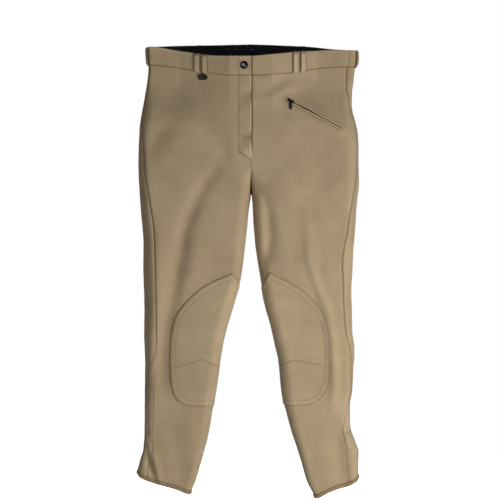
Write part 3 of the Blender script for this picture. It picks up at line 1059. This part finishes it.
for side, shape in PATCHES.items():
    seam_z = lambda z: np.stack([through(INNER[side], z) + SIDES[side] * 0.02, z], -1)
    corner = np.array([shape["corner"]])
    peak = np.concatenate([corner, seam_z(np.array([shape["seam_top"]]))])
    v_line = even(shape["chevron"], np.linspace(0, 1, 75), smooth=False)
    v_line = np.concatenate([v_line[:-1], seam_z(v_line[-1:, 1])])
    b = np.linspace(0, 1, 110)
    upper = spanned(even(shape["arc"], b), seam_z(shape["seam_top"]
                                                  + (v_line[-1, 1] - shape["seam_top"]) * b),
                    even(peak, np.linspace(0, 1, 75), smooth=False), v_line)
    hem_end = shape["hem"][-1][1]
    b = np.linspace(0, 1, 50)
    hem_line = even(shape["hem"], np.linspace(0, 1, 75))
    hem_line = np.concatenate([hem_line[:-1], seam_z(hem_line[-1:, 1])])
    lower = spanned(even(shape["lower"], b), seam_z(v_line[-1, 1] + (hem_end - v_line[-1, 1]) * b), v_line,
                    hem_line)
    outline = np.concatenate([even(peak[::-1], np.linspace(0, 1, 30)),
                              even(shape["arc"], np.linspace(0, 1, 160)),
                              even(shape["lower"], np.linspace(0, 1, 60)), hem_line])
    rows_out = []
    for part, place in (("upper", upper), ("lower", lower)):
        edge, along = nearest(place, outline)
        to_v, _ = nearest(place, v_line)
        lift = 1.35 - 1.5 * (1 - np.clip(edge / 1.3, 0, 1)) ** 2
        lift -= 0.45 * (np.exp(-((edge - 2.0) / 0.8) ** 2) + np.exp(-((edge - 11.5) / 0.8) ** 2))
        lift += 0.35 * np.exp(-((edge - 6.7) / 3.2) ** 2) * (1 + 0.9 * np.sin(along * 2 * np.pi / 5.6))
        lift += (0.45 if part == "upper" else -0.15) * np.exp(-(to_v / 7.0) ** 4)
        lift -= 0.5 * np.exp(-((to_v - 0.4) / 0.9) ** 2) + 0.3 * np.exp(-((to_v - 4.6) / 0.8) ** 2)
        x, z = place[..., 0], place[..., 1]
        p = np.minimum(share_at(side, x, z), 1.0)
        p[:, -1] = 1.0
        both = lambda value: np.concatenate([value, value[:, -2::-1]], 1)
        p = np.concatenate([p, 2 - p[:, -2::-1]], 1)
        z, lift, edge, to_v = [both(value) for value in (z, lift, edge, to_v)]
        points = cloth(side, z, p, lift)
        shade = np.clip(np.exp(-(edge / 1.1) ** 2) + 0.35 * np.exp(-((edge - 2.0) / 0.8) ** 2)
                        + 0.3 * np.exp(-((edge - 11.5) / 0.8) ** 2) + 0.4 * np.exp(-(to_v / 1.0) ** 2), 0, 1)
        cloth_piece("knee_patch_cloth_" + part + "_" + side, points,
                    cloth(side, z, p, lift + 1) - points, patch_twill, 0.9, "garment",
                    ["knee_patch_" + part + "_" + side], shade)
    middle = np.array([np.mean(outline[:, 0]), np.mean(outline[:, 1])])
    arc = np.concatenate([even(shape["arc"], np.linspace(0, 1, 200)),
                          even(shape["lower"], np.linspace(0, 1, 80))[1:],
                          hem_line[1:]])
    normal = np.stack([-np.gradient(arc[:, 1]), np.gradient(arc[:, 0])], 1)
    normal /= np.linalg.norm(normal, axis=1, keepdims=True)
    normal *= np.sign(((middle - arc) * normal).sum(1, keepdims=True))
    for inset in (2.0, 11.5):
        row = arc + normal * inset
        row = row[(np.abs(row[:, 0]) > np.abs(through(INNER[side], row[:, 1])) + 2) & (row[:, 1] < -480)]
        for face in (1, -1):
            p = share_at(side, row[:, 0], row[:, 1])
            p = p if face > 0 else 2 - p
            points = cloth(side, row[:, 1], p, 1.05)
            rows_out.append((points, cloth(side, row[:, 1], p, 2.05) - points))
    for drop in (1.6, -3.2):
        row = v_line[4:-2] + [0.0, drop]
        for face in (1, -1):
            p = share_at(side, row[:, 0], row[:, 1])
            p = p if face > 0 else 2 - p
            points = cloth(side, row[:, 1], p, 1.25)
            rows_out.append((points, cloth(side, row[:, 1], p, 2.25) - points))
    stitch_rows("knee_patch_stitches_" + side, rows_out)


# The ankle closures: below each side seam the front is open to the hem. A flap of twill on the front's edge
# turns over an underlap sewn to the back, and a strip of hook and loop tape holds it.
FLAP_REACH = 0.012


def vent_grid(side, first, last, steps):
    """p and z of a patch at the vent, between two distances in mm from the vent's line towards the outer
    edge, or from the outer fold where last is a share."""
    u = np.linspace(0, 1, 24)[None, :]
    start = seam_share(side, -905.0) - first / 110.0
    z = rows_between(side, start + (last - start) * u, FRONT_BOTTOM, steps)
    width = np.abs(through(INNER[side], z) - through(OUTER[side], z))
    start = seam_share(side, z) - first / width
    return start + (last - start) * u, z, width


for side in SIDES:
    p, z, width = vent_grid(side, 0.2, FLAP_REACH, [-796.5, -799.0, *np.arange(-801.5, -925.1, -2.5)])
    edge = (p - FLAP_REACH) * width
    from_top = -800.6 - z
    from_hem = z - through(HEM[side], leg_point(side, z, p)[0])
    lift = 0.9 - 1.1 * (1 - np.clip(edge / 1.5, 0, 1)) ** 2
    lift -= 0.25 * np.exp(-((edge - 4) / 0.8) ** 2) + 0.3 * np.exp(-((from_hem - 7) / 0.9) ** 2)
    swing = ease((p[:, :1] - p) * width / 6) * ease(from_top / 14)
    lift = lift * swing - 1.4 * (1 - ease((from_top + 1) / 3))
    points = cloth(side, z, p, lift)
    away = cloth(side, z, p, 2.0) - cloth(side, z, p, 1.0)
    cloth_piece("ankle_flap_cloth_" + side, points, away, twill, 0.9, "ankle_closure_" + side,
                ["ankle_flap_" + side], 0.5 * np.exp(-(edge / 0.9) ** 2))
    for name, depth, body in (("hook", 1.5, "ankle_closure_" + side), ("loop", 2.5, "garment")):
        p, z, width = vent_grid(side, 3.5, 0.035, np.arange(-810, -900, -3.0))
        z = np.minimum(z, -808 + 0 * z)
        away = cloth(side, z, p, 2.0) - cloth(side, z, p, 1.0)
        cloth_piece(name + "_strip_" + side, cloth(side, z, p, -depth), away, tape, 0.8, body,
                    [name + "_tape_" + side])
    p, z, width = vent_grid(side, -8.0, -0.09, np.arange(-794, -925.1, -2.5))
    z = np.maximum(z, through(HEM[side], leg_point(side, z, p)[0]) + 2.0)
    away = cloth(side, z, p, 2.0) - cloth(side, z, p, 1.0)
    cloth_piece("ankle_underlap_cloth_" + side, cloth(side, z, p, -3.5), away, twill, 0.8, "garment",
                ["ankle_underlap_" + side])
    tack_z = np.linspace(-798.5, -803.5, 12)
    tack_x = through(OUTER[side], tack_z) - SIDES[side] * through(SIDE_SEAM[side], tack_z)
    stitch_rows("ankle_bartack_" + side, [front_row(side, np.stack([tack_x, tack_z], 1), 0.6)], pitch=0.8,
                size=(0.45, 3.0, 0.4))


# The hems: the cloth is turned up 8 mm twice and sewn, so each leg ends in a thick rolled edge.
HEM_PROFILE = [(9.0, -1.5), (4.0, -1.6), (1.2, -1.5), (0.2, -1.1), (-0.4, -0.2), (-0.2, 0.7), (0.7, 1.25),
               (2.0, 1.35), (3.6, 1.2), (5.4, 1.15), (6.4, 0.95), (7.2, 0.45), (7.7, 0.1)]


def hem_roll(name, side, first, last, columns, body, nodes, lifted=0.0):
    """The roll along the hem, from share first to share last; None is the side seam, and past 2 is past the
    outer fold, on the front again. Its rows are the profile: height above the hem's line, and lift."""
    u = (1 - np.cos(np.linspace(0, 1, columns) * np.pi))[None, :] / 2
    rise = np.array([r for r, _ in HEM_PROFILE])[:, None]
    z = np.full((len(HEM_PROFILE), columns), -920.0)
    for _ in range(4):
        edge = seam_share(side, z)
        start = edge if first is None else first
        run = start + ((edge if last is None else last) - start) * u
        p = np.where(run > 2, run - 2, run)
        z = through(HEM[side], leg_point(side, z, p)[0]) + rise
    pucker = 0.15 * np.sin(run * 430 + rise * 0.2) * (rise > 1)
    lift = np.array([l for _, l in HEM_PROFILE])[:, None] + lifted + pucker
    points = cloth(side, z, p, lift)
    away = cloth(side, z, p, 2.0) - cloth(side, z, p, 1.0)
    shade = 0.62 - rise / 30.0 + np.exp(-((rise - 7.0) / 0.8) ** 2) * 0.4 + 0 * u
    cloth_piece(name, points, away, twill, 0.8, body, nodes, np.clip(shade, 0, 1))
    row = len(HEM_PROFILE) - 4
    stitch_rows(name + "_stitches", [(points[row, 2:-2], away[row, 2:-2])], body)


for side in SIDES:
    hem_roll("hem_roll_" + side, side, None, 2 + FLAP_REACH - 0.002, 280, "garment", ["hem_band_" + side])
    hem_roll("ankle_flap_hem_" + side, side, FLAP_REACH, None, 40, "ankle_closure_" + side, [], 0.3)


# The rubber tab: a moulded soft rubber badge, left blank, on a wire ring under the inner right belt loop.
moulded, tree = new_material("moulded black rubber")
place = add(tree, "ShaderNodeTexCoord").outputs["Object"]
grain = add(tree, "ShaderNodeTexNoise", Vector=place, Scale=800.0, Detail=3.0)
tone = two_tone(tree, grain.outputs[0], "#131312", "#272724")
gloss = add(tree, "ShaderNodeMapRange", Value=grain.outputs[0], To_Min=0.5, To_Max=0.72)
skin = add(tree, "ShaderNodeBump", Strength=0.3, Distance=0.0002, Height=grain.outputs[0])
soft_rubber = add(tree, "ShaderNodeBsdfPrincipled", Base_Color=tone.outputs[0], Roughness=gloss.outputs[0],
                  Normal=skin.outputs[0], IOR=1.52)
add(tree, "ShaderNodeOutputMaterial", Surface=soft_rubber.outputs[0])
tab_low, tab_high = [np.array(corner) * 1000 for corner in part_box("waist_tab")]
tab_across = np.array(joints["rubber_tab_hinge"]["axis"])
tab_out = np.cross(tab_across, (0.0, 0.0, 1.0))
tab_out *= -np.sign(tab_out[1])
TAB_HIGH, TAB_HALF_WIDE = 11.8, 9.9
tab_middle = np.array([*(tab_low + tab_high)[:2] / 2, tab_high[2] - TAB_HIGH / 2])
# Share of the outline, and distance in front of the tab's middle: a flat face inside a raised rim.
TAB_RINGS = np.array([(0.001, 0.75), (0.7, 0.75), (0.76, 1.15), (0.93, 1.15), (1.0, 0.6), (1.0, -0.6),
                      (0.94, -1.0), (0.001, -1.0)])
turn = np.arange(BADGE_ROUND)[None, :] * 2 * np.pi / BADGE_ROUND
# The outline is a superellipse: |x / a| ** 3 + |z / b| ** 3 = 1.
across, up = [np.sign(v) * np.abs(v) ** (2 / 3) for v in (np.cos(turn), np.sin(turn))]
points = (tab_middle + (TAB_RINGS[:, :1] * across * TAB_HALF_WIDE)[..., None] * tab_across
          + (TAB_RINGS[:, :1] * up * TAB_HIGH / 2)[..., None] * np.array([0.0, 0.0, 1.0])
          + (TAB_RINGS[:, 1:] + 0 * turn)[..., None] * tab_out)
faces = outwards(points, grid_faces(len(TAB_RINGS), BADGE_ROUND, around=True), points - tab_middle)
rubber_badge = put_mesh("rubber_badge", points, faces)
rubber_badge.data.materials.append(moulded)
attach(rubber_badge, "rubber_tab")
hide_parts("waist_tab")


# Each leg panel is a sheet of cloth, with everything that is sewn to it.
for side, (front, back) in legs.items():
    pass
